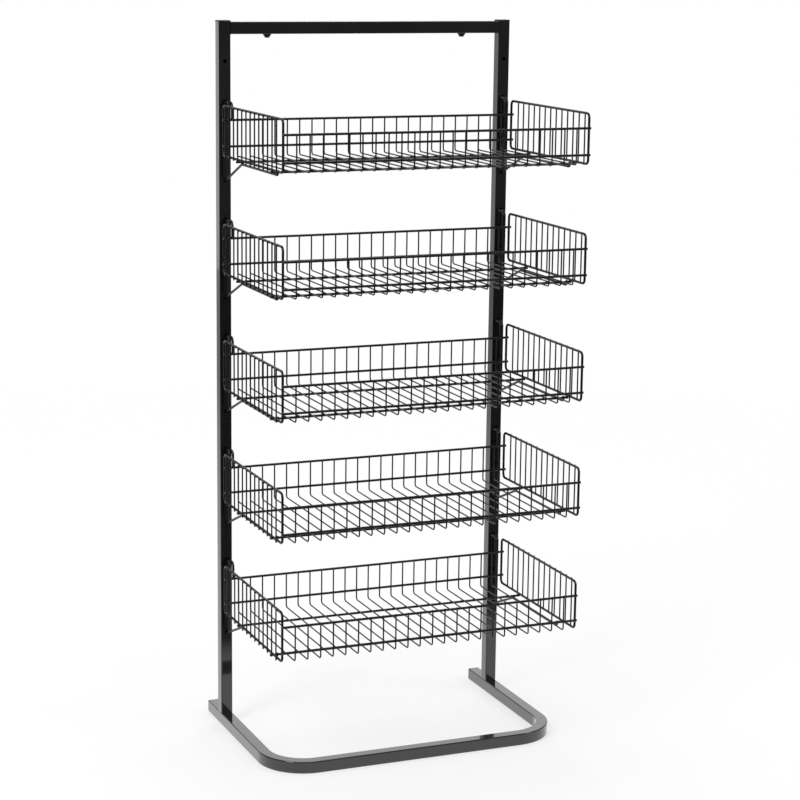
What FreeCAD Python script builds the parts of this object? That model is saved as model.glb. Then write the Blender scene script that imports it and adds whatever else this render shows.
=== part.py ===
import FreeCAD, Part
import math
import os
import Sketcher

# Five-tier wire basket stand: a bent tube base, two uprights in two lengths each, a top rail,
# and five identical welded wire baskets that hook into holes in the uprights' front faces.
#
# +Z is up and the baskets face -Y. Pieces are drawn with Y = 0 at the uprights' front faces,
# and each node is then moved so that the origin is at the middle of the whole stand's footprint.
# A basket is drawn with Z = 0 at the centre of its end frames' bottom wire.

PARTS_FOLDER = "parts"

# Driving dimensions, in millimetres: name, value, meaning.
SIZES = [
    ("tube_width", 25.0, "outside width of the square tube of base, uprights and rail"),
    ("tube_wall", 1.5, "wall of that tube"),
    ("tube_corner", 2.2, "outside corner radius of that tube"),
    ("upright_spacing", 620.0, "uprights, centre to centre"),
    ("lower_upright_length", 700.0, "lower upright section"),
    ("upper_upright_length", 759.0, "upper upright section"),
    ("base_reach", 326.5, "base front bar's centre line, ahead of the uprights' faces"),
    ("leg_rear_reach", 91.6, "leg tube's rear end, behind the uprights' faces"),
    ("base_bend_radius", 85.0, "centre line radius of the base's two bends"),
    ("sleeve_length", 68.0, "sleeve that joins two upright sections"),
    ("sleeve_wall", 2.0, "wall of that sleeve"),
    ("plug_clearance", 0.1, "gap each side of a sleeve or a cap's plug in its tube"),
    ("cap_head", 1.6, "straight part of an end cap's head"),
    ("cap_bevel", 1.0, "bevelled part of an end cap's head, and the width of the bevel"),
    ("cap_overhang", 0.4, "upright cap's head beyond the tube, each side"),
    ("leg_cap_inset", 0.2, "leg cap's head within the tube's outline, each side"),
    ("cap_plug_length", 14.0, "end cap's plug"),
    ("cap_plug_wall", 2.0, "wall of that plug"),
    ("hole_diameter", 8.0, "hook holes in the uprights"),
    ("hole_pitch", 80.0, "hook holes, centre to centre"),
    ("top_hole_drop", 79.0, "top hook hole below the upright tube's end"),
    ("header_spacing", 432.0, "header screws under the top rail, centre to centre"),
    ("header_shank_diameter", 6.0, "header screw's shank"),
    ("header_hole_clearance", 0.25, "gap around that shank in the rail"),
    ("header_flange_diameter", 17.0, "header screw's flange"),
    ("header_flange_height", 2.4, "thickness of that flange"),
    ("header_knob_diameter", 14.5, "header screw's knob at the flange"),
    ("header_knob_tip", 9.0, "header screw's knob at its lower end"),
    ("header_knob_height", 5.3, "length of that knob"),
    ("header_nut_width", 12.0, "nut inside the rail"),
    ("header_nut_height", 6.0, "height of that nut"),
    ("header_shank_spare", 3.0, "shank beyond the nut"),
    ("frame_wire", 5.0, "thick wire of the baskets, and of hooks and arms"),
    ("mesh_wire", 3.0, "thin wire of the baskets"),
    ("weld_gap", 0.05, "gap left between two wires where they are welded"),
    ("basket_side_reach", 10.5, "end frames, outside the uprights' centre lines"),
    ("basket_depth", 360.0, "end frame's back and front wires, centre to centre"),
    ("basket_height", 100.0, "end frame's bottom and top wires, centre to centre"),
    ("basket_gap", 20.9, "end frame's back wire, ahead of the uprights' faces"),
    ("frame_corner", 9.0, "centre line radius of an end frame's corners"),
    ("top_rail_rise", 71.5, "upper rails above the end frames' bottom wire"),
    ("low_rail_rise", 18.5, "lower rails above the end frames' bottom wire"),
    ("front_rail_overhang", 1.5, "front rails beyond the centre line of the end frames' wire"),
    ("back_rail_overhang", 2.4, "back rails beyond the centre line of the end frames' wire"),
    ("cross_wire_overhang", 0.5, "cross wires beyond the end frames' wire"),
    ("mesh_bend", 6.0, "centre line radius of the mesh wires' bends"),
    ("end_wire_drop", 3.8, "end wires' lower ends, below the bottom wire's centre"),
    ("end_wire_rise", 1.6, "end wires' upper ends, above the top wire's centre"),
    ("hook_rise", 106.0, "hanger rod above the end frames' bottom wire"),
    ("hook_bend", 6.0, "centre line radius of the hanger rod behind the hole"),
    ("hook_tail", 8.0, "straight upright end of the hanger rod inside the tube"),
    ("hook_seat_clearance", 0.3, "gap between the hanger rod and its hole's lower edge"),
    ("rod_bend", 10.0, "centre line radius of hanger rods and hook braces in front"),
    ("brace_tail_gap", 2.5, "hook brace's rear end, ahead of the upright's face"),
    ("brace_inset", 6.4, "hook brace, inside the hanger rod, centre to centre"),
    ("foot_reach", 9.0, "arm's foot, behind the upright's face"),
    ("foot_lead", 3.0, "corner between foot and diagonal, ahead of the face"),
    ("elbow_lead", 4.0, "corner between diagonal and arm, behind the rear cross wire"),
    ("arm_bend", 12.0, "centre line radius of the arm's two shallow bends"),
    ("tip_bend", 5.0, "centre line radius of the arm's upturned tip"),
]

# Counts: name, value, meaning. The pitches follow from them.
COUNTS = [
    ("tiers", 5, "baskets"),
    ("tier_holes", 3, "hole pitches from one basket to the next"),
    ("foot_holes", 2, "hole pitches from a basket's hook down to its foot"),
    ("upper_holes", 9, "hook holes in an upper upright"),
    ("lower_holes", 7, "hook holes in a lower upright"),
    ("mesh_wires", 23, "mesh wires across one basket"),
    ("end_wires", 13, "thin wires on one end frame"),
    ("front_cross_bay", 2, "end wires ahead of the front cross wire"),
    ("rear_cross_bay", 3, "end wires behind the rear cross wire"),
]

# Places worked out from the sizes: name, formula, meaning.
PLACES = [
    ("half_tube", "tube_width / 2", "half the tube's width"),
    ("tube_bore", "tube_width - 2 * tube_wall", "clear width inside the tube"),
    ("half_bore", "tube_bore / 2", "half the clear width"),
    ("bore_corner", "tube_corner - tube_wall", "corner radius inside the tube"),
    ("half_spacing", "upright_spacing / 2", "upright's centre from the middle"),
    ("leg_rear", "leg_rear_reach", "rear end of the leg tubes"),
    ("base_left", "-half_spacing", "left leg's centre line"),
    ("base_right", "half_spacing", "right leg's centre line"),
    ("base_front", "-base_reach", "front bar's centre line"),
    ("joint_height", "tube_width + lower_upright_length", "where two upright sections meet"),
    ("upright_top", "joint_height + upper_upright_length", "upright tube's upper end"),
    ("half_sleeve", "tube_bore / 2 - plug_clearance", "half the sleeve's outside width"),
    ("sleeve_hole", "half_sleeve - sleeve_wall", "half the sleeve's clear width"),
    ("small_corner", "0.6 * bore_corner", "corner radius of sleeves and plugs"),
    ("half_cap", "half_tube + cap_overhang", "half an upright cap's head"),
    ("half_leg_cap", "half_tube - leg_cap_inset", "half a leg cap's head"),
    ("plug_hole", "half_sleeve - cap_plug_wall", "half the clear width of a cap's plug"),
    ("rail_centre_height", "upright_top - half_tube", "top rail's centre line"),
    ("rail_length", "upright_spacing - tube_width", "top rail between the uprights"),
    ("rail_underside", "upright_top - tube_width", "top rail's lower face"),
    ("wire_radius", "frame_wire / 2", "thick wire's radius"),
    ("mesh_radius", "mesh_wire / 2", "thin wire's radius"),
    ("thick_weld", "frame_wire + weld_gap", "two welded thick wires, centre to centre"),
    ("thin_weld", "wire_radius + mesh_radius + weld_gap", "thick and thin wire, centre to centre"),
    ("end_frame_x", "half_spacing + basket_side_reach", "end frame's plane"),
    ("back_wire_y", "-basket_gap", "end frame's back wire"),
    ("front_wire_y", "-basket_gap - basket_depth", "end frame's front wire"),
    ("floor_wire_z", "0", "end frame's bottom wire"),
    ("back_rail_y", "back_wire_y - thick_weld", "back rails, ahead of the back wires"),
    ("front_rail_y", "front_wire_y - thick_weld", "front rails, ahead of the front wires"),
    ("cross_wire_z", "-thick_weld", "cross wires, under the end frames"),
    ("mesh_back_y", "back_rail_y - thin_weld", "mesh wires' upright part at the back"),
    ("mesh_front_y", "front_rail_y + thin_weld", "mesh wires' upright part at the front"),
    ("mesh_floor_z", "cross_wire_z + thin_weld", "mesh wires' floor, on the cross wires"),
    ("mesh_top_z", "top_rail_rise + mesh_radius", "mesh wires' ends"),
    ("mesh_pitch", "2 * end_frame_x / (mesh_wires + 1)", "mesh wires, centre to centre"),
    ("end_wire_pitch", "basket_depth / (end_wires + 1)", "end wires, centre to centre"),
    ("end_wire_x", "end_frame_x + thin_weld", "end wires, outside the end frame"),
    ("end_wire_length", "basket_height + end_wire_drop + end_wire_rise", "end wire's length"),
    ("front_rail_half", "end_frame_x + front_rail_overhang", "front rail's half length"),
    ("back_rail_half", "end_frame_x + back_rail_overhang", "back rail's half length"),
    ("cross_wire_half", "end_frame_x + wire_radius + cross_wire_overhang", "cross wire's half length"),
    ("front_cross_y", "front_wire_y + (front_cross_bay + 0.5) * end_wire_pitch", "front cross wire"),
    ("rear_cross_y", "back_wire_y - (rear_cross_bay + 0.5) * end_wire_pitch", "rear cross wire"),
    ("hole_play", "(hole_diameter - frame_wire) / 2 - hook_seat_clearance", "hole above the rod"),
    ("wall_middle_y", "tube_wall / 2", "middle of the upright's front wall"),
    ("tail_y", "wall_middle_y + hook_bend", "hanger rod's upright tail inside the tube"),
    ("tail_top_z", "hook_rise + hook_bend + hook_tail", "that tail's end"),
    ("strut_y", "back_rail_y + thick_weld", "hanger rod's strut, behind the back rails"),
    ("brace_x", "half_spacing - brace_inset", "hook brace, beside the hanger rod"),
    ("brace_rear_y", "-brace_tail_gap", "hook brace's rear end"),
    ("brace_low_z", "top_rail_rise + wire_radius + weld_gap", "hook brace's lower end, on a rail"),
    ("foot_y", "foot_reach", "rear end of the arm's foot"),
    ("foot_z", "hook_rise + hole_play - foot_holes * hole_pitch", "foot, at its hole's centre"),
    ("foot_corner_y", "-foot_lead", "where the foot turns into the diagonal"),
    ("elbow_y", "rear_cross_y + elbow_lead", "where the diagonal turns into the arm"),
    ("arm_z", "cross_wire_z - thick_weld", "arm, under the cross wires"),
    ("tip_y", "front_cross_y - thick_weld", "arm's tip, ahead of the front cross wire"),
    ("tip_z", "floor_wire_z", "upper end of the tip"),
    ("diagonal_slope", "(arm_z - foot_z) / (foot_corner_y - elbow_y)", "rise of the diagonal"),
    ("diagonal_top", "wire_radius * sqrt(1 + diagonal_slope ^ 2)", "its upper side above its centre"),
    ("strut_foot_y", "foot_corner_y - strut_y + wire_radius", "foot's corner to the strut's front side"),
    ("strut_rise", "strut_foot_y * diagonal_slope + diagonal_top", "diagonal's upper side there"),
    ("strut_low_z", "foot_z + strut_rise + weld_gap", "strut's lower end"),
    ("first_hook_z", "upright_top - top_hole_drop - hole_pitch", "hole of the top basket's hooks"),
    ("first_basket_z", "first_hook_z - hole_play - hook_rise", "top basket's bottom wire"),
    ("front_reach", "wire_radius - front_rail_y", "foremost point, ahead of the faces"),
    ("rear_reach", "leg_rear + cap_head + cap_bevel", "rearmost point, behind the faces"),
    ("centre_shift", "(front_reach - rear_reach) / 2", "moves the footprint's middle to the origin"),
]

doc = FreeCAD.newDocument("wire_basket_stand")


def vector(x, y, z):
    return FreeCAD.Vector(x, y, z)


ACROSS_Y_AND_Z = FreeCAD.Rotation(vector(1, 1, 1), 120)   # sketch x, y become Y, Z
FACING_X = FreeCAD.Rotation(vector(0, 1, 0), 90)          # local z becomes X
FACING_Y = FreeCAD.Rotation(vector(1, 0, 0), -90)         # local z becomes Y
FACING_REAR = FreeCAD.Rotation(vector(1, 0, 0), 90)       # local z becomes -Y
UPSIDE_DOWN = FreeCAD.Rotation(vector(1, 0, 0), 180)      # local z becomes -Z
UPRIGHT = FreeCAD.Rotation()


def fill_sheet(name, rows, first_words):
    """Make a spreadsheet with one row for each value: its name, the value and its meaning."""
    sheet = doc.addObject("Spreadsheet::Sheet", name)
    for row, (alias, content, meaning) in enumerate(rows, start=1):
        sheet.set("A%d" % row, "'" + alias)
        sheet.set("B%d" % row, first_words + str(content))
        sheet.set("C%d" % row, "'" + meaning)
        sheet.setAlias("B%d" % row, alias)
    return sheet


SIZE_NAMES = {row[0] for row in SIZES + COUNTS}
PLACE_NAMES = {row[0] for row in PLACES}


def spelled_out(formula, inside_places=False):
    """Write each size and place in a formula with the name of its sheet in front."""
    words = []
    for word in formula.replace("(", " ( ").replace(")", " ) ").split():
        if word.lstrip("-") in SIZE_NAMES:
            word = word.replace(word.lstrip("-"), "Sizes." + word.lstrip("-"))
        elif word.lstrip("-") in PLACE_NAMES and not inside_places:
            word = word.replace(word.lstrip("-"), "Places." + word.lstrip("-"))
        words.append(word)
    return " ".join(words).replace("sqrt ( ", "sqrt(")


sizes = fill_sheet("Sizes", SIZES + COUNTS, "")
doc.recompute()
place_rows = [(name, spelled_out(formula, True), meaning) for name, formula, meaning in PLACES]
places = fill_sheet("Places", place_rows, "=")
doc.recompute()


def value(name):
    """The present value of a size or a place, or of its opposite."""
    if name.startswith("-"):
        return -value(name[1:])
    if name in SIZE_NAMES:
        return float(sizes.get(name))
    return float(places.get(name))


def bind(thing, prop, formula):
    thing.setExpression(prop, spelled_out(formula))


def put(thing, x="0", y="0", z="0", turn=UPRIGHT):
    """Place a piece: each coordinate is a formula."""
    thing.Placement = FreeCAD.Placement(vector(0, 0, 0), turn)
    for axis, formula in (("x", x), ("y", y), ("z", z)):
        if formula != "0":
            bind(thing, "Placement.Base." + axis, formula)
    return thing


def corner_distance(before, corner, after, radius):
    """From a corner to where its arc begins, with the way the path turns there."""
    inward = (corner - before).normalize()
    onward = (after - corner).normalize()
    turn = inward.x * onward.y - inward.y * onward.x
    angle = math.acos(max(-1.0, min(1.0, inward.dot(onward))))
    return radius * math.tan(angle / 2), inward, onward, turn > 0


def path_sketch(name, corners, radii, closed=False):
    """A path of straight runs with an arc at each corner, fully constrained.

    corners are pairs of place names; radii has one size or place name for each rounded corner.
    """
    sketch = doc.addObject("Sketcher::SketchObject", name)
    points = [vector(value(x), value(y), 0) for x, y in corners]
    count = len(points)
    rounded = range(count) if closed else range(1, count - 1)
    radius_of = dict(zip(rounded, radii))
    leave = {}
    arrive = {}
    arcs = {}
    for i in rounded:
        before = points[i - 1]
        after = points[(i + 1) % count]
        reach, inward, onward, left_turn = corner_distance(
            before, points[i], after, value(radius_of[i]))
        arrive[i] = points[i] - inward * reach
        leave[i] = points[i] + onward * reach
        side = 1 if left_turn else -1
        normal = vector(-inward.y, inward.x, 0) * side
        centre = arrive[i] + normal * value(radius_of[i])
        arcs[i] = (centre, value(radius_of[i]), left_turn)
    run_starts = range(count) if closed else range(count - 1)
    runs = {}
    for i in run_starts:
        j = (i + 1) % count
        runs[i] = sketch.addGeometry(
            Part.LineSegment(leave.get(i, points[i]), arrive.get(j, points[j])), False)
    for i, (centre, radius, left_turn) in arcs.items():
        first = arrive[i] - centre
        last = leave[i] - centre
        if not left_turn:
            first, last = last, first
        circle = Part.Circle(centre, vector(0, 0, 1), radius)
        arc = sketch.addGeometry(Part.ArcOfCircle(
            circle, math.atan2(first.y, first.x), math.atan2(last.y, last.x)), False)
        into, out_of = (1, 2) if left_turn else (2, 1)
        sketch.addConstraint(Sketcher.Constraint("Tangent", runs[(i - 1) % count], 2, arc, into))
        sketch.addConstraint(Sketcher.Constraint("Tangent", runs[i], 1, arc, out_of))
        named_constraint(sketch, "radius_%d" % i, ("Radius", arc, radius), radius_of[i])
    for i in range(count):
        corner = sketch.addGeometry(Part.Point(points[i]), True)
        named_constraint(sketch, "x_%d" % i, ("DistanceX", -1, 1, corner, 1, points[i].x), corners[i][0])
        named_constraint(sketch, "y_%d" % i, ("DistanceY", -1, 1, corner, 1, points[i].y), corners[i][1])
        if i in arcs:
            sketch.addConstraint(Sketcher.Constraint("PointOnObject", corner, 1, runs[(i - 1) % count]))
            sketch.addConstraint(Sketcher.Constraint("PointOnObject", corner, 1, runs[i]))
        elif i == 0:
            sketch.addConstraint(Sketcher.Constraint("Coincident", runs[0], 1, corner, 1))
        else:
            sketch.addConstraint(Sketcher.Constraint("Coincident", runs[i - 1], 2, corner, 1))
    return sketch


def named_constraint(sketch, name, arguments, formula):
    """Add a dimension to a sketch and tie it to a size or a place."""
    index = sketch.addConstraint(Sketcher.Constraint(*arguments))
    sketch.renameConstraint(index, name)
    bind(sketch, "Constraints." + name, formula)


def swept(name, section, path):
    """Sweep a closed section along a path sketch."""
    doc.recompute()
    edges = ["Edge%d" % (i + 1) for i in range(len(path.Shape.Edges))]
    sweep = doc.addObject("Part::Sweep", name)
    sweep.Sections = [section]
    sweep.Spine = (path, edges)
    sweep.Solid = True
    sweep.Frenet = False
    return sweep


def wire_section(name, radius, y, z, turn):
    """The round section of a wire whose path begins at y, z."""
    circle = doc.addObject("Part::Circle", name)
    bind(circle, "Radius", radius)
    return put(circle, "0", y, z, turn)


def bent_wire(name, corners, radii, turn, wire="wire_radius", closed=False):
    """A wire bent in the Y-Z plane, which starts along the direction that turn gives."""
    path = path_sketch(name + "_path", corners, radii, closed)
    path.Placement = FreeCAD.Placement(vector(0, 0, 0), ACROSS_Y_AND_Z)
    section = wire_section(name + "_section", wire, corners[0][0], corners[0][1], turn)
    return swept(name + "_wire", section, path)


def square_section(name, half, corner):
    """A square outline with round corners."""
    minus = "-" + half
    outline = [(half, half), (minus, half), (minus, minus), (half, minus)]
    return path_sketch(name, outline, [corner] * 4, closed=True)


def extruded(name, sketch, length, taper=None):
    """Extrude a sketch along its own normal."""
    solid = doc.addObject("Part::Extrusion", name)
    solid.Base = sketch
    solid.DirMode = "Normal"
    solid.Solid = True
    bind(solid, "LengthFwd", length)
    if taper is not None:
        solid.TaperAngle = taper
    return solid


def cut(name, base, tool):
    result = doc.addObject("Part::Cut", name)
    result.Base = base
    result.Tool = tool
    return result


def fused(name, shapes):
    result = doc.addObject("Part::MultiFuse", name)
    result.Shapes = shapes
    return result


def cylinder(name, radius, height, x="0", y="0", z="0", turn=UPRIGHT):
    solid = doc.addObject("Part::Cylinder", name)
    bind(solid, "Radius", radius)
    bind(solid, "Height", height)
    return put(solid, x, y, z, turn)


def group(name, pieces):
    """Several solids as one object."""
    result = doc.addObject("Part::Compound", name)
    result.Links = pieces
    return result


def both_sides(name, piece):
    """A piece of the right side, with its mirror image on the left."""
    mirror = doc.addObject("Part::Mirroring", name + "_mirrored")
    mirror.Source = piece
    mirror.Base = vector(0, 0, 0)
    mirror.Normal = vector(1, 0, 0)
    return [piece, mirror]


nodes = []


def node(label, pieces, x="0", z="0", turn=UPRIGHT):
    """One named sub-part of the stand, in the stand's own frame."""
    result = group(label, pieces)
    result.Label = label
    put(result, x, "centre_shift", z, turn)
    nodes.append(result)
    return result


def hollow_tube(name, length):
    """A straight length of the stand's square tube, along +Z from its lower end."""
    outline = square_section(name + "_outline", "half_tube", "tube_corner")
    bore = square_section(name + "_bore", "half_bore", "bore_corner")
    outside = extruded(name + "_outside", outline, length)
    inside = extruded(name + "_inside", bore, length)
    return cut(name + "_tube", outside, inside)


def front_holes(name, count, highest):
    """Holes through a tube's front wall, a hole pitch apart downwards from the highest one."""
    holes = []
    for i in range(count):
        height = "%s - %d * hole_pitch" % (highest, i)
        holes.append(cylinder("%s_%d" % (name, i + 1), "hole_diameter / 2", "2 * tube_wall",
                              "0", "-half_tube - tube_wall / 2", height, FACING_Y))
    return group(name, holes)


def make_base():
    """One tube bent twice: left leg, front bar and right leg."""
    route = [("base_left", "leg_rear"), ("base_left", "base_front"),
             ("base_right", "base_front"), ("base_right", "leg_rear")]
    path = path_sketch("base_path", route, ["base_bend_radius"] * 2)
    bind(path, "Placement.Base.z", "half_tube")
    solids = []
    outlines = (("outside", "half_tube", "tube_corner"), ("bore", "half_bore", "bore_corner"))
    for word, half, corner in outlines:
        section = square_section("base_" + word, half, corner)
        put(section, "base_left", "leg_rear", "half_tube", FACING_REAR)
        solids.append(swept("base_" + word + "_sweep", section, path))
    node("base_tube", [cut("base_hollow", solids[0], solids[1])])


def make_uprights():
    """Two tube sections for each upright, with the hook holes in their front walls."""
    lower = hollow_tube("lower_upright", "lower_upright_length")
    lower_first = "upright_top - top_hole_drop - upper_holes * hole_pitch - tube_width"
    lower_holes = front_holes("lower_hole", LOWER_HOLES, lower_first)
    lower_drilled = cut("lower_upright_drilled", lower, lower_holes)
    upper = hollow_tube("upper_upright", "upper_upright_length")
    upper_first = "upper_upright_length - top_hole_drop"
    upper_holes = front_holes("upper_hole", UPPER_HOLES, upper_first)
    upper_drilled = cut("upper_upright_drilled", upper, upper_holes)
    sleeve_outline = square_section("sleeve_outline", "half_sleeve", "small_corner")
    sleeve_outside = extruded("sleeve_outside", sleeve_outline, "sleeve_length")
    sleeve_bore = square_section("sleeve_bore", "sleeve_hole", "small_corner")
    sleeve_inside = extruded("sleeve_inside", sleeve_bore, "sleeve_length")
    sleeve = cut("sleeve_hollow", sleeve_outside, sleeve_inside)
    for side, x in SIDES:
        upright_node("lower_upright_" + side, lower_drilled, x, "tube_width")
        upright_node("upper_upright_" + side, upper_drilled, x, "joint_height")
        upright_node("upright_sleeve_" + side, sleeve, x, "joint_height - sleeve_length / 2")


def upright_node(label, piece, x, z):
    """A node that stands on an upright's centre line."""
    result = node(label, [piece], x, z)
    bind(result, "Placement.Base.y", "centre_shift + half_tube")


def end_cap(name, half_head):
    """A plug-in end cap: a bevelled head on a hollow plug, with the tube's end at Z = 0."""
    head_outline = square_section(name + "_outline", half_head, "tube_corner")
    head = extruded(name + "_head", head_outline, "cap_head")
    bevel_outline = square_section(name + "_bevel_outline", half_head, "tube_corner")
    bind(bevel_outline, "Placement.Base.z", "cap_head")
    bevel = extruded(name + "_bevel", bevel_outline, "cap_bevel", taper=-BEVEL_ANGLE)
    plug_outline = square_section(name + "_plug_outline", "half_sleeve", "small_corner")
    plug = extruded(name + "_plug_solid", plug_outline, "cap_plug_length")
    hollow_outline = square_section(name + "_hollow_outline", "plug_hole", "small_corner")
    hollow = extruded(name + "_plug_hollow", hollow_outline, "cap_plug_length")
    wall = cut(name + "_plug", plug, hollow)
    bind(wall, "Placement.Base.z", "-cap_plug_length")
    return fused(name + "_whole", [head, bevel, wall])


def make_caps():
    """Caps on the uprights' upper ends and on the legs' rear ends."""
    upright_cap = end_cap("upright_cap", "half_cap")
    leg_cap = end_cap("leg_cap", "half_leg_cap")
    for side, x in SIDES:
        upright_node("upright_cap_" + side, upright_cap, x, "upright_top")
        placed = node("leg_cap_" + side, [leg_cap], x, "half_tube", FACING_Y)
        bind(placed, "Placement.Base.y", "centre_shift + leg_rear")


def make_top_rail():
    """The rail between the uprights, with two header screws and their nuts."""
    rail = hollow_tube("rail", "rail_length")
    put(rail, "-rail_length / 2", "half_tube", "rail_centre_height", FACING_X)
    screws = []
    nuts = []
    holes = []
    for name, x in (("left", "-header_spacing / 2"), ("right", "header_spacing / 2")):
        shank_length = "header_shank_spare + header_nut_height + tube_wall"
        holes.append(cylinder("header_hole_" + name, "header_shank_diameter / 2 + header_hole_clearance",
                              "2 * tube_wall", x, "half_tube", "rail_underside - tube_wall / 2"))
        shank = cylinder("header_shank_" + name, "header_shank_diameter / 2", shank_length,
                         x, "half_tube", "rail_underside")
        flange = cylinder("header_flange_" + name, "header_flange_diameter / 2", "header_flange_height",
                          x, "half_tube", "rail_underside", UPSIDE_DOWN)
        knob = doc.addObject("Part::Cone", "header_knob_" + name)
        bind(knob, "Radius1", "header_knob_diameter / 2")
        bind(knob, "Radius2", "header_knob_tip / 2")
        bind(knob, "Height", "header_knob_height")
        put(knob, x, "half_tube", "rail_underside - header_flange_height", UPSIDE_DOWN)
        screws.append(fused("header_screw_" + name, [shank, flange, knob]))
        block = doc.addObject("Part::Prism", "header_nut_block_" + name)
        block.Polygon = NUT_SIDES
        bind(block, "Circumradius", "header_nut_width / sqrt(3)")
        bind(block, "Height", "header_nut_height")
        put(block, x, "half_tube", "rail_underside + tube_wall")
        thread = cylinder("header_nut_thread_" + name, "header_shank_diameter / 2", "header_nut_height",
                          x, "half_tube", "rail_underside + tube_wall")
        nuts.append(cut("header_nut_" + name, block, thread))
    node("top_rail", [cut("rail_drilled", rail, group("header_holes", holes))])
    node("header_screws", screws)
    node("header_nuts", nuts)


def long_wire(name, half_length, y, z):
    """A straight thick wire across the basket."""
    return cylinder(name, "wire_radius", "2 * " + half_length, "-" + half_length, y, z, FACING_X)


def make_basket_pieces():
    """The pieces of one basket, by the word that ends their node's name."""
    frame_corners = [("back_wire_y", "basket_height"), ("back_wire_y", "floor_wire_z"),
                     ("front_wire_y", "floor_wire_z"), ("front_wire_y", "basket_height")]
    frame_path = path_sketch("end_frame_path", frame_corners, ["frame_corner"] * 4, closed=True)
    frame_path.Placement = FreeCAD.Placement(vector(0, 0, 0), ACROSS_Y_AND_Z)
    frame_section = wire_section("end_frame_section", "wire_radius", "back_wire_y",
                                 "basket_height - frame_corner", UPRIGHT)
    frame_wire = swept("end_frame_wire", frame_section, frame_path)
    bind(frame_wire, "Placement.Base.x", "end_frame_x")

    thin_uprights = [
        cylinder("end_wire_%d" % (i + 1), "mesh_radius", "end_wire_length",
                 "end_wire_x", "back_wire_y - %d * end_wire_pitch" % (i + 1), "-end_wire_drop")
        for i in range(END_WIRES)]

    mesh_corners = [("mesh_back_y", "mesh_top_z"), ("mesh_back_y", "mesh_floor_z"),
                    ("mesh_front_y", "mesh_floor_z"), ("mesh_front_y", "mesh_top_z")]
    mesh_wire = bent_wire("mesh", mesh_corners, ["mesh_bend"] * 2, UPRIGHT, wire="mesh_radius")
    mesh_wires = []
    for i in range(MESH_WIRES):
        copy = group("mesh_wire_%d" % (i + 1), [mesh_wire])
        bind(copy, "Placement.Base.x", "%d * mesh_pitch - end_frame_x" % (i + 1))
        mesh_wires.append(copy)

    rod_corners = [("tail_y", "tail_top_z"), ("tail_y", "hook_rise"), ("strut_y", "hook_rise"),
                   ("strut_y", "strut_low_z")]
    rod = bent_wire("hanger_rod", rod_corners, ["hook_bend", "rod_bend"], UPRIGHT)
    bind(rod, "Placement.Base.x", "half_spacing")

    brace_corners = [("brace_rear_y", "hook_rise"), ("back_rail_y", "hook_rise"),
                     ("back_rail_y", "brace_low_z")]
    brace = bent_wire("hook_brace", brace_corners, ["rod_bend"], FACING_Y)
    bind(brace, "Placement.Base.x", "brace_x")

    arm_corners = [("foot_y", "foot_z"), ("foot_corner_y", "foot_z"), ("elbow_y", "arm_z"),
                   ("tip_y", "arm_z"), ("tip_y", "tip_z")]
    arm = bent_wire("support_arm", arm_corners, ["arm_bend", "arm_bend", "tip_bend"], FACING_Y)
    bind(arm, "Placement.Base.x", "half_spacing")

    return {
        "end_frames": both_sides("end_frame", frame_wire),
        "end_wires": both_sides("end_wires", group("end_wires_right", thin_uprights)),
        "front_rails": [
            long_wire("front_top_rail", "front_rail_half", "front_rail_y", "top_rail_rise"),
            long_wire("front_low_rail", "front_rail_half", "front_rail_y", "low_rail_rise")],
        "back_rails": [
            long_wire("back_top_rail", "back_rail_half", "back_rail_y", "top_rail_rise"),
            long_wire("back_low_rail", "back_rail_half", "back_rail_y", "low_rail_rise")],
        "cross_wires": [
            long_wire("front_cross_wire", "cross_wire_half", "front_cross_y", "cross_wire_z"),
            long_wire("rear_cross_wire", "cross_wire_half", "rear_cross_y", "cross_wire_z")],
        "mesh_wires": mesh_wires,
        "hanger_rods": both_sides("hanger_rod", rod),
        "hook_braces": both_sides("hook_brace", brace),
        "support_arms": both_sides("support_arm", arm),
    }


def make_baskets():
    """Identical baskets, a whole number of hole pitches apart; the first is the highest."""
    pieces = make_basket_pieces()
    for tier in range(TIERS):
        height = "first_basket_z - %d * tier_holes * hole_pitch" % tier
        for word, solids in pieces.items():
            node("basket_%d_%s" % (tier + 1, word), solids, "0", height)


def fault_in(thing):
    """What is wrong with an object of the document, or nothing."""
    if "Invalid" in thing.State or "Error" in thing.State:
        return "failed to compute"
    return None


def check_and_write():
    """Stop on any failed object or bad shape, and otherwise write one STEP file for each node."""
    doc.recompute()
    faults = ["%s %s" % (thing.Name, fault_in(thing)) for thing in doc.Objects if fault_in(thing)]
    for sub_part in nodes:
        if sub_part.Shape.isNull() or not sub_part.Shape.isValid() or not sub_part.Shape.Solids:
            faults.append("%s has no valid solid" % sub_part.Label)
    if faults:
        raise RuntimeError("; ".join(faults))
    os.makedirs(PARTS_FOLDER, exist_ok=True)
    for sub_part in nodes:
        sub_part.Shape.exportStep(os.path.join(PARTS_FOLDER, sub_part.Label + ".step"))
        print("%-28s %3d solids" % (sub_part.Label, len(sub_part.Shape.Solids)))
    print("%d nodes" % len(nodes))


SIDES = (("left", "-half_spacing"), ("right", "half_spacing"))
BEVEL_ANGLE = 45
NUT_SIDES = 6
TIERS = int(value("tiers"))
UPPER_HOLES = int(value("upper_holes"))
LOWER_HOLES = int(value("lower_holes"))
MESH_WIRES = int(value("mesh_wires"))
END_WIRES = int(value("end_wires"))

make_base()
make_uprights()
make_caps()
make_top_rail()
make_baskets()
check_and_write()
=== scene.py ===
import bmesh
import bpy
import math
import random
from mathutils import Matrix, Vector


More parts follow.
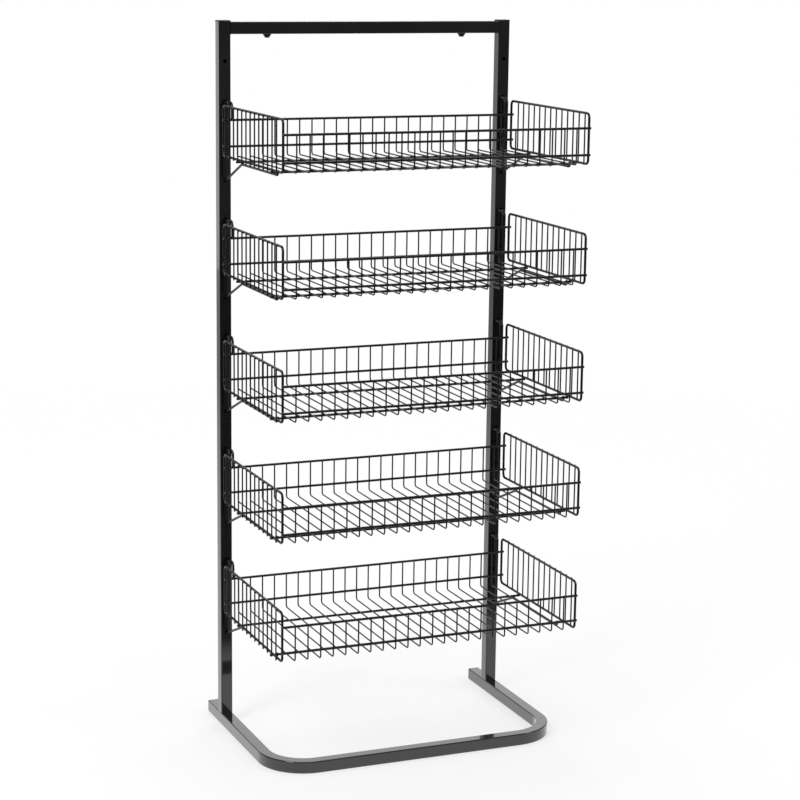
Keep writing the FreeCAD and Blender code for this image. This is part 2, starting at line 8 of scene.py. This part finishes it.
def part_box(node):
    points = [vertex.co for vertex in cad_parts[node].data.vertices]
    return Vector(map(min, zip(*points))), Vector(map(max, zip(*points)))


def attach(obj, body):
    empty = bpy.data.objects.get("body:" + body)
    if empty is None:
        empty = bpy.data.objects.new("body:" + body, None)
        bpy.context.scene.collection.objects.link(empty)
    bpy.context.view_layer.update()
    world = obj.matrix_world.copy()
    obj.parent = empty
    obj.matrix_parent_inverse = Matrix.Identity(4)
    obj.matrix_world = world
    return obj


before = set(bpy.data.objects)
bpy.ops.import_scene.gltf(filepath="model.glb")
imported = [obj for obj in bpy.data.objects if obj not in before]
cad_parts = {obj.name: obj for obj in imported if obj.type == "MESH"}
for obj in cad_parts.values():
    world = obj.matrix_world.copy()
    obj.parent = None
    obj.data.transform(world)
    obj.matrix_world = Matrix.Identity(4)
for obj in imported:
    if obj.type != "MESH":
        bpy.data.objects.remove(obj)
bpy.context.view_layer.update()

MM = 0.001
TIERS = 5

# ---------------------------------------------------------------- where a basket's welds are

# Welds are placed in each basket's own frame, in mm: X from the stand's middle, Y from the
# uprights' front faces and Z from the centre of the end frames' bottom wire.
FACE_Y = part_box("lower_upright_left")[0].y
THICK_RADIUS = 2.5

HALF_SPACING = 310.0      # uprights, and the hanger rods and arms in front of them
END_FRAME_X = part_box("basket_1_end_frames")[1].x / MM - THICK_RADIUS
END_WIRE_X = END_FRAME_X + THICK_RADIUS
BRACE_LOW_X = 303.6       # hook brace's lower end
BRACE_SIDE_X = 306.8      # between hook brace and hanger rod

FRONT_MESH_Y = -383.45    # mesh wires on the front rails
BACK_MESH_Y = -28.45      # mesh wires on the back rails
FRONT_FRAME_Y = -383.42   # front rails on the end frames
BACK_FRAME_Y = -23.42     # back rails on the end frames and on the hanger rods
BACK_WIRE_Y = -20.9       # end frames' back wires
CROSS_YS = (-316.6, -110.9)
ARM_TIP_Y = -319.1        # arms' tips on the front cross wire
BRACE_LOW_Y = -26.0
BRACE_SIDE_Y = -12.0
STRUT_Y = -22.6           # hanger rods' struts on the arms

RAIL_ZS = (71.5, 18.5)
MESH_CROSS_Z = -2.55      # mesh wires on the cross wires
FRAME_CROSS_Z = -2.52     # end frames on the cross wires
ARM_CROSS_Z = -7.57       # arms under the cross wires
ARM_TIP_Z = -5.4
END_WIRE_ZS = (99.2, 0.0)
BRACE_LOW_Z = 74.2
BRACE_SIDE_Z = 106.2
STRUT_Z = -42.6

MESH_COUNT = 23
MESH_PITCH = 2 * END_FRAME_X / (MESH_COUNT + 1)
END_COUNT = 13
END_PITCH = 360.0 / (END_COUNT + 1)

# Half sizes of the weld nuggets, in mm. A nugget between two crossed wires is thinnest along
# the axis on which they are pressed together.
THIN_ON_RAIL = (2.0, 1.25, 2.1)
THIN_ON_CROSS = (2.0, 2.1, 1.25)
END_WIRE_NUGGETS = ((1.25, 2.1, 2.0), (1.25, 2.1, 2.1))
THICK_ON_RAIL = (2.9, 1.5, 2.9)
THICK_ON_CROSS = (2.9, 2.9, 1.5)
ARM_TIP_NUGGET = (2.6, 1.4, 3.2)
BRACE_LOW_NUGGET = (3.1, 2.8, 1.7)
BRACE_SIDE_NUGGET = (1.9, 6.0, 2.2)
STRUT_NUGGET = (2.7, 3.4, 2.9)

# The frame's weld beads, in m.
BEAD_INSET = 2.2 * MM
BEAD_RIPPLE = 2.6 * MM
LEG_BEAD_RADIUS = 1.9 * MM
RAIL_BEAD_RADIUS = 1.7 * MM
BEAD_SIDES = 12
RINGS_PER_RIPPLE = 6


# ---------------------------------------------------------------- materials

class Nodes:
    """A short way to write a material's or a world's node tree."""

    def __init__(self, tree):
        self.tree = tree
        tree.nodes.clear()

    def add(self, kind, **settings):
        made = self.tree.nodes.new(kind)
        for key, value in settings.items():
            setattr(made, key, value)
        return made

    def link(self, start, end):
        self.tree.links.new(start, end)

    def noise(self, coordinates, scale, detail=3.0, rough=0.55):
        made = self.add("ShaderNodeTexNoise")
        made.inputs["Scale"].default_value = scale
        made.inputs["Detail"].default_value = detail
        made.inputs["Roughness"].default_value = rough
        self.link(coordinates, made.inputs["Vector"])
        return made.outputs["Fac"]

    def spread(self, value, low, high, to_low, to_high):
        """The value's range from low to high, mapped to another range and held at its ends."""
        made = self.add("ShaderNodeMapRange")
        for name, number in (("From Min", low), ("From Max", high), ("To Min", to_low), ("To Max", to_high)):
            made.inputs[name].default_value = number
        self.link(value, made.inputs["Value"])
        return made.outputs["Result"]

    def maths(self, operation, first, second):
        made = self.add("ShaderNodeMath", operation=operation)
        for socket, given in zip(made.inputs, (first, second)):
            if isinstance(given, (int, float)):
                socket.default_value = given
            else:
                self.link(given, socket)
        return made.outputs[0]

    def blend(self, share, first, second):
        """From the first colour to the second one."""
        made = self.add("ShaderNodeMix", data_type="RGBA")
        self.link(share, made.inputs["Factor"])
        for socket, colour in ((made.inputs["A"], first), (made.inputs["B"], second)):
            socket.default_value = (*colour, 1.0)
        return made.outputs["Result"]

    def bump(self, height, distance, normal=None):
        """Relief of a given depth in m, on top of another relief if there is one."""
        made = self.add("ShaderNodeBump")
        made.inputs["Distance"].default_value = distance
        made.inputs["Strength"].default_value = 1.0
        self.link(height, made.inputs["Height"])
        if normal is not None:
            self.link(normal, made.inputs["Normal"])
        return made.outputs["Normal"]


def new_material(name):
    """A material, its node tree, its surface shader and the object's own coordinates."""
    material = bpy.data.materials.new(name)
    material.use_nodes = True
    tree = Nodes(material.node_tree)
    out = tree.add("ShaderNodeOutputMaterial")
    surface = tree.add("ShaderNodeBsdfPrincipled")
    tree.link(surface.outputs["BSDF"], out.inputs["Surface"])
    place = tree.add("ShaderNodeTexCoord").outputs["Object"]
    return material, tree, surface, place


def powder_coat(name, dark, pale, rough, gloss, coat, coat_rough, peel, peel_size):
    """Gloss black powder coat: a thick skin that has flowed into a fine orange peel."""
    material, tree, surface, place = new_material(name)
    cloud = tree.noise(place, 14.0, 4.0)
    tint = tree.blend(tree.spread(cloud, 0.3, 0.7, 0.0, 1.0), dark, pale)
    tree.link(tint, surface.inputs["Base Color"])
    tree.link(tree.spread(cloud, 0.25, 0.75, rough - 0.04, rough + 0.05), surface.inputs["Roughness"])
    surface.inputs["Specular IOR Level"].default_value = gloss
    surface.inputs["Coat Weight"].default_value = coat
    surface.inputs["Coat Roughness"].default_value = coat_rough
    surface.inputs["Coat IOR"].default_value = 1.5
    waves = tree.noise(place, peel_size, 2.0, 0.4)
    long_waves = tree.noise(place, peel_size / 9, 1.0, 0.4)
    normal = tree.bump(long_waves, peel * 2.5)
    normal = tree.bump(waves, peel, normal)
    tree.link(normal, surface.inputs["Normal"])
    tree.link(normal, surface.inputs["Coat Normal"])
    return material


def moulded_plastic(name, dark, pale, rough):
    """Black moulded plastic with a fine spark-eroded grain."""
    material, tree, surface, place = new_material(name)
    cloud = tree.noise(place, 60.0, 3.0)
    grain = tree.noise(place, 2600.0, 2.0, 0.6)
    tree.link(tree.blend(tree.spread(cloud, 0.3, 0.7, 0.0, 1.0), dark, pale), surface.inputs["Base Color"])
    tree.link(tree.spread(grain, 0.3, 0.7, rough - 0.06, rough + 0.08), surface.inputs["Roughness"])
    tree.link(tree.bump(grain, 0.00004), surface.inputs["Normal"])
    return material


def zinc_plate(name, dark, pale):
    """Zinc-plated steel, for what lies inside the tubes."""
    material, tree, surface, place = new_material(name)
    cloud = tree.noise(place, 90.0, 5.0)
    drawn = tree.noise(place, 700.0, 2.0)
    tree.link(tree.blend(tree.spread(cloud, 0.35, 0.65, 0.0, 1.0), dark, pale), surface.inputs["Base Color"])
    surface.inputs["Metallic"].default_value = 1.0
    tree.link(tree.spread(drawn, 0.3, 0.7, 0.28, 0.42), surface.inputs["Roughness"])
    tree.link(tree.bump(drawn, 0.00002), surface.inputs["Normal"])
    return material


TUBE = powder_coat("tube_powder_coat", dark=(0.0062, 0.0050, 0.0043), pale=(0.0094, 0.0077, 0.0066),
                   rough=0.13, gloss=0.5, coat=1.0, coat_rough=0.03, peel=0.000006, peel_size=420.0)
WIRE = powder_coat("wire_powder_coat", dark=(0.0082, 0.0068, 0.0053), pale=(0.0122, 0.0102, 0.0081),
                   rough=0.32, gloss=0.4, coat=0.12, coat_rough=0.12, peel=0.00001, peel_size=520.0)
WELD = powder_coat("weld_powder_coat", dark=(0.0096, 0.0081, 0.0065), pale=(0.0142, 0.0120, 0.0098),
                   rough=0.32, gloss=0.45, coat=0.3, coat_rough=0.12, peel=0.00003, peel_size=700.0)
CAP = moulded_plastic("end_cap_plastic", dark=(0.010, 0.010, 0.0105), pale=(0.016, 0.016, 0.017), rough=0.42)
KNOB = moulded_plastic("knob_plastic", dark=(0.009, 0.009, 0.0095), pale=(0.014, 0.014, 0.015), rough=0.28)
STEEL = zinc_plate("zinc_plated_steel", dark=(0.46, 0.47, 0.50), pale=(0.62, 0.62, 0.60))

FRAME_FINISH = {
    "leg_cap_left": CAP, "leg_cap_right": CAP, "upright_cap_left": CAP, "upright_cap_right": CAP,
    "header_screws": KNOB, "header_nuts": STEEL,
    "upright_sleeve_left": STEEL, "upright_sleeve_right": STEEL,
}
for name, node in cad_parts.items():
    finish = WIRE if name.startswith("basket_") else FRAME_FINISH.get(name, TUBE)
    if not node.material_slots:
        node.data.materials.append(finish)
    for material_slot in node.material_slots:
        material_slot.material = finish


# ---------------------------------------------------------------- welds

def nugget_shape():
    """The points and faces of the unit ball that every weld nugget is pressed from."""
    ball = bmesh.new()
    bmesh.ops.create_icosphere(ball, subdivisions=2, radius=1.0)
    points = [v.co.copy() for v in ball.verts]
    faces = [[v.index for v in f.verts] for f in ball.faces]
    ball.free()
    return points, faces


BALL_POINTS, BALL_FACES = nugget_shape()


def basket_welds():
    """The weld nuggets of one basket: each one's centre and half sizes."""
    welds = []
    for i in range(1, MESH_COUNT + 1):
        x = MESH_PITCH * i - END_FRAME_X
        for z in RAIL_ZS:
            welds.append(((x, FRONT_MESH_Y, z), THIN_ON_RAIL))
            welds.append(((x, BACK_MESH_Y, z), THIN_ON_RAIL))
        for y in CROSS_YS:
            welds.append(((x, y, MESH_CROSS_Z), THIN_ON_CROSS))
    for side in (-1, 1):
        frame_x = side * END_FRAME_X
        rod_x = side * HALF_SPACING
        for i in range(1, END_COUNT + 1):
            for z, nugget in zip(END_WIRE_ZS, END_WIRE_NUGGETS):
                welds.append(((side * END_WIRE_X, BACK_WIRE_Y - END_PITCH * i, z), nugget))
        for z in RAIL_ZS:
            welds.append(((frame_x, FRONT_FRAME_Y, z), THICK_ON_RAIL))
            welds.append(((frame_x, BACK_FRAME_Y, z), THICK_ON_RAIL))
            welds.append(((rod_x, BACK_FRAME_Y, z), THICK_ON_RAIL))
        for y in CROSS_YS:
            welds.append(((frame_x, y, FRAME_CROSS_Z), THICK_ON_CROSS))
            welds.append(((rod_x, y, ARM_CROSS_Z), THICK_ON_CROSS))
        welds.append(((rod_x, ARM_TIP_Y, ARM_TIP_Z), ARM_TIP_NUGGET))
        welds.append(((side * BRACE_LOW_X, BRACE_LOW_Y, BRACE_LOW_Z), BRACE_LOW_NUGGET))
        welds.append(((side * BRACE_SIDE_X, BRACE_SIDE_Y, BRACE_SIDE_Z), BRACE_SIDE_NUGGET))
        welds.append(((rod_x, STRUT_Y, STRUT_Z), STRUT_NUGGET))
    return welds


def add_piece(name, points, faces, body, material):
    """A smooth mesh that rides on a body."""
    mesh = bpy.data.meshes.new(name)
    mesh.from_pydata(points, [], faces)
    mesh.materials.append(material)
    mesh.polygons.foreach_set("use_smooth", [True] * len(mesh.polygons))
    mesh.update()
    piece = bpy.data.objects.new(name, mesh)
    bpy.context.scene.collection.objects.link(piece)
    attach(piece, body)
    return piece


def add_basket_welds(tier, welds):
    """All the weld nuggets of one basket, as one piece. No two nuggets are quite alike."""
    seed = random.Random(100 + tier)
    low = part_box("basket_%d_end_frames" % tier)[0].z + THICK_RADIUS * MM
    points = []
    faces = []
    for (x, y, z), (half_x, half_y, half_z) in welds:
        first = len(points)
        size = seed.uniform(0.9, 1.08)
        for point in BALL_POINTS:
            wobble = size * (1.0 + seed.uniform(-0.05, 0.05))
            points.append((MM * (x + half_x * wobble * point.x),
                           FACE_Y + MM * (y + half_y * wobble * point.y),
                           low + MM * (z + half_z * wobble * point.z)))
        faces += [[first + i for i in face] for face in BALL_FACES]
    add_piece("basket_%d_weld_nuggets" % tier, points, faces, "basket_%d" % tier, WELD)


def weld_bead(start, end, radius, seed):
    """The points and faces of a rippled weld bead along a straight corner."""
    along = Vector(end) - Vector(start)
    length = along.length
    direction = along.normalized()
    side = direction.cross(Vector((0.3, 0.5, 0.8))).normalized()
    other = direction.cross(side)
    rings = max(12, int(length / BEAD_RIPPLE * RINGS_PER_RIPPLE))
    points = []
    for i in range(rings + 1):
        share = i / rings
        ripple = abs(math.sin(math.pi * share * length / BEAD_RIPPLE))
        taper = math.sin(math.pi * share) ** 0.25 if 0 < i < rings else 0.05
        ring_radius = radius * taper * (0.86 + 0.14 * ripple) * seed.uniform(0.98, 1.02)
        centre = Vector(start) + direction * (share * length)
        for k in range(BEAD_SIDES):
            angle = 2 * math.pi * k / BEAD_SIDES
            points.append(centre + side * (ring_radius * math.cos(angle))
                          + other * (ring_radius * math.sin(angle)))
    faces = []
    for i in range(rings):
        this_ring, next_ring = i * BEAD_SIDES, (i + 1) * BEAD_SIDES
        for k in range(BEAD_SIDES):
            n = (k + 1) % BEAD_SIDES
            faces.append([this_ring + k, this_ring + n, next_ring + n, next_ring + k])
    faces.append(list(range(BEAD_SIDES))[::-1])
    faces.append([rings * BEAD_SIDES + k for k in range(BEAD_SIDES)])
    return points, faces


def add_frame_welds():
    """Beads behind the uprights on the legs, and under the top rail's ends on the uprights."""
    seed = random.Random(7)
    tube_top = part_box("base_tube")[1].z
    rail_low, rail_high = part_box("top_rail")
    for side in ("left", "right"):
        low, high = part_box("lower_upright_" + side)
        rail_x = rail_low.x if side == "left" else rail_high.x
        beads = [
            ((low.x + BEAD_INSET, high.y, tube_top), (high.x - BEAD_INSET, high.y, tube_top),
             LEG_BEAD_RADIUS),
            ((rail_x, rail_low.y + BEAD_INSET, rail_low.z), (rail_x, rail_high.y - BEAD_INSET, rail_low.z),
             RAIL_BEAD_RADIUS),
        ]
        points = []
        faces = []
        for start, end, radius in beads:
            bead_points, bead_faces = weld_bead(start, end, radius, seed)
            faces += [[len(points) + i for i in face] for face in bead_faces]
            points += bead_points
        add_piece("frame_weld_beads_" + side, points, faces, "frame", WELD)


WELDS = basket_welds()
for tier in range(1, TIERS + 1):
    add_basket_welds(tier, WELDS)
add_frame_welds()


# ---------------------------------------------------------------- studio

FLOOR_RADIUS = 7.0
FLOOR_DROP = 0.0005       # keeps the floor clear of the tube's underside
FLOOR_GREY = 0.35
FILL_LIGHT = 0.55         # the world's light on matt surfaces
DARKEST_GLOSS = 0.1       # what gloss shows of the world where it is darkest

# The photograph's viewpoint, solved from the stand's own edges.
PHOTO_PIXELS = 800
FOCAL_PIXELS = 2241.15
SENSOR_WIDTH = 36.0       # mm
CAMERA_X, CAMERA_AHEAD, CAMERA_Z = -1.7291, 4.3490, 1.6502
CAMERA_YAW, CAMERA_PITCH, CAMERA_ROLL = 0.3945, 0.2027, 0.0126


def ray_kinds(tree):
    """Whether a ray comes from the camera, from gloss or through glass."""
    kinds = tree.add("ShaderNodeLightPath").outputs
    return kinds["Is Camera Ray"], kinds["Is Glossy Ray"], kinds["Is Transmission Ray"]


def set_world():
    """White to the camera and through glass, and plain light to matt surfaces.

    Gloss shows a studio that is white behind the stand and dark on the camera's side.
    """
    world = bpy.data.worlds.new("studio")
    bpy.context.scene.world = world
    world.use_nodes = True
    tree = Nodes(world.node_tree)
    out = tree.add("ShaderNodeOutputWorld")
    shown = tree.add("ShaderNodeBackground")
    camera, glossy, through = ray_kinds(tree)
    split = tree.add("ShaderNodeSeparateXYZ")
    tree.link(tree.add("ShaderNodeTexCoord").outputs["Generated"], split.inputs[0])
    across, back, up = split.outputs["X"], split.outputs["Y"], split.outputs["Z"]
    behind = tree.spread(back, -0.2, 0.4, 0.0, 1.0)
    behind = tree.maths("MULTIPLY", behind, tree.spread(across, -0.65, -0.22, 0.0, 0.85))
    behind = tree.maths("MULTIPLY", behind, tree.spread(across, 0.5, 0.9, 1.0, 0.1))
    behind = tree.maths("MULTIPLY", behind, tree.spread(up, 0.35, 0.75, 1.0, 0.12))
    over_shopper = tree.maths("MULTIPLY", tree.spread(up, 0.05, 0.35, 0.0, 0.3),
                              tree.spread(back, -0.2, 0.2, 1.0, 0.0))
    mirrored = tree.maths("ADD", tree.maths("ADD", behind, over_shopper), DARKEST_GLOSS)
    plain = tree.maths("MAXIMUM", camera, through)
    level = tree.maths("ADD", plain, tree.maths("MULTIPLY", glossy, mirrored))
    matt = tree.maths("SUBTRACT", 1.0, tree.maths("MAXIMUM", plain, glossy))
    level = tree.maths("ADD", level, tree.maths("MULTIPLY", matt, FILL_LIGHT))
    tree.link(level, shown.inputs["Strength"])
    shown.inputs["Color"].default_value = (1.0, 1.0, 1.0, 1.0)
    tree.link(shown.outputs[0], out.inputs["Surface"])


def floor_paint():
    """Matt paint that glows to the camera, so that it is near white and keeps the stand's shadow.

    To gloss it glows instead with painted light: pale under and behind the stand, and darker in front and
    far away.
    """
    material = bpy.data.materials.new("floor_paint")
    material.use_nodes = True
    tree = Nodes(material.node_tree)
    out = tree.add("ShaderNodeOutputMaterial")
    camera, glossy, _ = ray_kinds(tree)
    position = tree.add("ShaderNodeNewGeometry").outputs["Position"]
    length = tree.add("ShaderNodeVectorMath", operation="LENGTH")
    tree.link(position, length.inputs[0])
    distance = length.outputs["Value"]
    split = tree.add("ShaderNodeSeparateXYZ")
    tree.link(position, split.inputs[0])

    paint = tree.add("ShaderNodeBsdfDiffuse")
    paint.inputs["Color"].default_value = (FLOOR_GREY, FLOOR_GREY, FLOOR_GREY, 1.0)
    glow = tree.add("ShaderNodeEmission")
    seen = tree.spread(distance, 0.0, 6.0, 0.63, 0.83)
    tree.link(tree.maths("MULTIPLY", camera, seen), glow.inputs["Strength"])
    painted = tree.add("ShaderNodeAddShader")
    tree.link(paint.outputs[0], painted.inputs[0])
    tree.link(glow.outputs[0], painted.inputs[1])

    # Painted light seen only in gloss: the floor glows pale behind the stand's front bar and dark in front
    # of it, fading far away, and shows no shadow.
    under = tree.spread(split.outputs["Y"], -0.42, -0.28, 0.1, 0.9)
    fading = tree.spread(distance, 0.6, 4.2, 1.0, 0.42)
    mirrored = tree.add("ShaderNodeEmission")
    tree.link(tree.maths("MULTIPLY", under, fading), mirrored.inputs["Strength"])
    mixed = tree.add("ShaderNodeMixShader")
    tree.link(glossy, mixed.inputs["Fac"])
    tree.link(painted.outputs[0], mixed.inputs[1])
    tree.link(mirrored.outputs[0], mixed.inputs[2])
    tree.link(mixed.outputs[0], out.inputs["Surface"])
    return material


def add_floor():
    """A pale round floor that the background's white takes over from."""
    disc = bmesh.new()
    bmesh.ops.create_circle(disc, cap_ends=True, segments=96, radius=FLOOR_RADIUS)
    mesh = bpy.data.meshes.new("floor")
    disc.to_mesh(mesh)
    disc.free()
    mesh.materials.append(floor_paint())
    floor = bpy.data.objects.new("floor", mesh)
    floor.location.z = -FLOOR_DROP
    bpy.context.scene.collection.objects.link(floor)


def add_softbox(name, place, aim, width, height, power):
    light = bpy.data.lights.new(name, "AREA")
    light.shape = "RECTANGLE"
    light.size = width
    light.size_y = height
    light.energy = power
    lamp = bpy.data.objects.new(name, light)
    lamp.location = place
    lamp.rotation_euler = (Vector(aim) - Vector(place)).to_track_quat("-Z", "Y").to_euler()
    bpy.context.scene.collection.objects.link(lamp)


def add_camera():
    """The camera at the photograph's viewpoint."""
    data = bpy.data.cameras.new("camera")
    data.sensor_width = SENSOR_WIDTH
    data.lens = FOCAL_PIXELS / PHOTO_PIXELS * SENSOR_WIDTH
    data.clip_start = 0.1
    data.clip_end = 60.0
    camera = bpy.data.objects.new("camera", data)
    level_ahead = Vector((math.sin(CAMERA_YAW), math.cos(CAMERA_YAW), 0.0))
    forward = level_ahead * math.cos(CAMERA_PITCH) - Vector((0.0, 0.0, math.sin(CAMERA_PITCH)))
    level_right = Vector((math.cos(CAMERA_YAW), -math.sin(CAMERA_YAW), 0.0))
    level_up = level_right.cross(forward)
    right = level_right * math.cos(CAMERA_ROLL) + level_up * math.sin(CAMERA_ROLL)
    up = level_up * math.cos(CAMERA_ROLL) - level_right * math.sin(CAMERA_ROLL)
    turn = Matrix((right, up, -forward)).transposed().to_4x4()
    place = Vector((CAMERA_X, FACE_Y - CAMERA_AHEAD, CAMERA_Z))
    camera.matrix_world = Matrix.Translation(place) @ turn
    bpy.context.scene.collection.objects.link(camera)
    bpy.context.scene.camera = camera


set_world()
add_floor()
add_softbox("left_softbox", (-2.7, -1.6, 3.1), aim=(0.0, 0.0, 0.7), width=1.1, height=1.1, power=55.0)
add_softbox("right_softbox", (2.9, -1.9, 2.6), aim=(0.0, 0.0, 0.7), width=0.9, height=0.9, power=22.0)
add_softbox("top_softbox", (0.3, 1.2, 3.6), aim=(0.0, 0.0, 0.6), width=1.6, height=1.0, power=36.0)
add_camera()
bpy.context.scene.view_settings.view_transform = "Standard"
